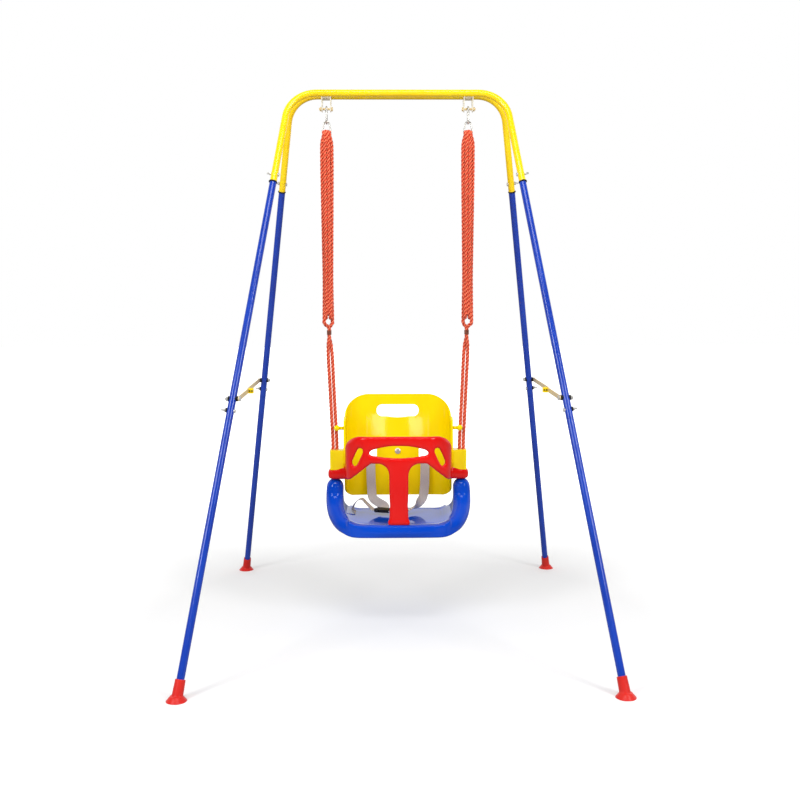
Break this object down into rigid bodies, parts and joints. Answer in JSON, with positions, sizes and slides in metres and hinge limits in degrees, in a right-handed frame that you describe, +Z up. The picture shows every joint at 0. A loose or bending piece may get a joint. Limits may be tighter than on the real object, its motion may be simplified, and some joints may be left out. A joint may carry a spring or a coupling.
{
  "type": "indoor swing frame",
  "caption": "Folding tubular indoor swing stand with braced splayed legs, carrying a rope-hung toddler bucket seat with backrest, guard bar and belt.",
  "frame": {"origin": "on the floor, midway between the four feet", "axes": "+Z up, +X along the top bars, the seat faces -Y"},
  "size_m": [1.048, 1.168, 1.4415],
  "materials": {
    "yellow_tube": "glossy powder coat on steel tube",
    "blue_tube": "glossy powder coat on steel tube",
    "red_foot": "soft moulded plastic",
    "zinc_steel": "yellow-passivated zinc on pressed steel",
    "bright_steel": "bright zinc plate",
    "dark_steel": "black oxide",
    "black_plastic": "moulded nylon",
    "yellow_lock": "moulded plastic",
    "orange_rope": "twisted polypropylene rope",
    "blue_seat": "glossy moulded polyethylene",
    "yellow_seat": "glossy moulded polyethylene",
    "red_seat": "glossy moulded polyethylene",
    "grey_webbing": "woven polypropylene webbing"
  },
  "bodies": {
    "front_frame": {"front_top_tube": "yellow_tube", "front_upper_leg_left": "blue_tube", "front_upper_leg_right": "blue_tube", "front_lower_leg_left": "blue_tube", "front_lower_leg_right": "blue_tube", "front_foot_left": "red_foot", "front_foot_right": "red_foot", "front_yoke_bolts": "bright_steel", "front_leg_bolts": "bright_steel", "front_leg_washers": "black_plastic", "front_brace_bolts": "bright_steel", "front_brace_spacers": "black_plastic", "hanger_bracket_left": "zinc_steel", "hanger_bracket_right": "zinc_steel", "hanger_bolts": "bright_steel", "hanger_nuts": "bright_steel"},
    "rear_frame": {"rear_top_tube": "yellow_tube", "rear_upper_leg_left": "blue_tube", "rear_upper_leg_right": "blue_tube", "rear_lower_leg_left": "blue_tube", "rear_lower_leg_right": "blue_tube", "rear_foot_left": "red_foot", "rear_foot_right": "red_foot", "rear_yoke_bolts": "bright_steel", "rear_leg_bolts": "bright_steel", "rear_leg_washers": "black_plastic", "rear_brace_bolts": "bright_steel", "rear_brace_spacers": "black_plastic"},
    "front_brace_left": {"front_link_left": "zinc_steel", "brace_lock_left": "yellow_lock", "lock_rivets_left": "dark_steel"},
    "rear_brace_left": {"rear_link_left": "zinc_steel"},
    "front_brace_right": {"front_link_right": "zinc_steel", "brace_lock_right": "yellow_lock", "lock_rivets_right": "dark_steel"},
    "rear_brace_right": {"rear_link_right": "zinc_steel"},
    "swing": {"carabiner_left": "bright_steel", "carabiner_right": "bright_steel", "gate_pins": "bright_steel", "rope_ring_left": "bright_steel", "rope_ring_right": "bright_steel", "rope_hank_left": "orange_rope", "rope_hank_right": "orange_rope", "seat_rope_left": "orange_rope", "seat_rope_right": "orange_rope", "rope_clip_left": "dark_steel", "rope_clip_right": "dark_steel", "seat_base": "blue_seat", "backrest": "yellow_seat", "guard": "red_seat", "back_stud": "bright_steel", "belt_left": "grey_webbing", "belt_right": "grey_webbing", "belt_tail": "grey_webbing", "buckle_body": "black_plastic", "buckle_tongue": "black_plastic"},
    "gate_left_bar": {"gate_left": "bright_steel"},
    "gate_right_bar": {"gate_right": "bright_steel"}
  },
  "joints": [
    {"name": "frame_fold", "type": "hinge", "parent": "front_frame", "child": "rear_frame", "pos_m": [0, 0.019, 1.43], "axis": [-1, 0, 0], "range_deg": [0, 30]},
    {"name": "swing_pivot", "type": "hinge", "parent": "front_frame", "child": "swing", "pos_m": [0, 0, 1.392], "axis": [1, 0, 0], "range_deg": [-45, 45]},
    {"name": "front_brace_left_pivot", "type": "hinge", "parent": "front_frame", "child": "front_brace_left", "pos_m": [-0.40136, -0.31409, 0.65], "axis": [-1, 0, 0], "range_deg": [0, 125.12]},
    {"name": "rear_brace_left_pivot", "type": "hinge", "parent": "rear_frame", "child": "rear_brace_left", "pos_m": [-0.40136, 0.31409, 0.65], "axis": [1, 0, 0], "range_deg": [0, 55.55]},
    {"name": "gate_left_hinge", "type": "hinge", "parent": "swing", "child": "gate_left_bar", "pos_m": [-0.188, -0.0085, 1.3849], "axis": [1, 0, 0], "range_deg": [0, 20], "stiffness_Nm_per_rad": 0.02, "springref_deg": -5.73},
    {"name": "front_brace_right_pivot", "type": "hinge", "parent": "front_frame", "child": "front_brace_right", "pos_m": [0.40136, -0.31409, 0.65], "axis": [-1, 0, 0], "range_deg": [0, 125.12]},
    {"name": "rear_brace_right_pivot", "type": "hinge", "parent": "rear_frame", "child": "rear_brace_right", "pos_m": [0.40136, 0.31409, 0.65], "axis": [1, 0, 0], "range_deg": [0, 55.55]},
    {"name": "gate_right_hinge", "type": "hinge", "parent": "swing", "child": "gate_right_bar", "pos_m": [0.188, -0.0085, 1.3849], "axis": [1, 0, 0], "range_deg": [0, 20], "stiffness_Nm_per_rad": 0.02, "springref_deg": -5.73}
  ],
  "couplings": [
    {"joint": "front_brace_left_pivot", "follows": "frame_fold", "ratio": 4.164},
    {"joint": "rear_brace_left_pivot", "follows": "frame_fold", "ratio": 1.8451},
    {"joint": "front_brace_right_pivot", "follows": "frame_fold", "ratio": 4.164},
    {"joint": "rear_brace_right_pivot", "follows": "frame_fold", "ratio": 1.8451}
  ]
}
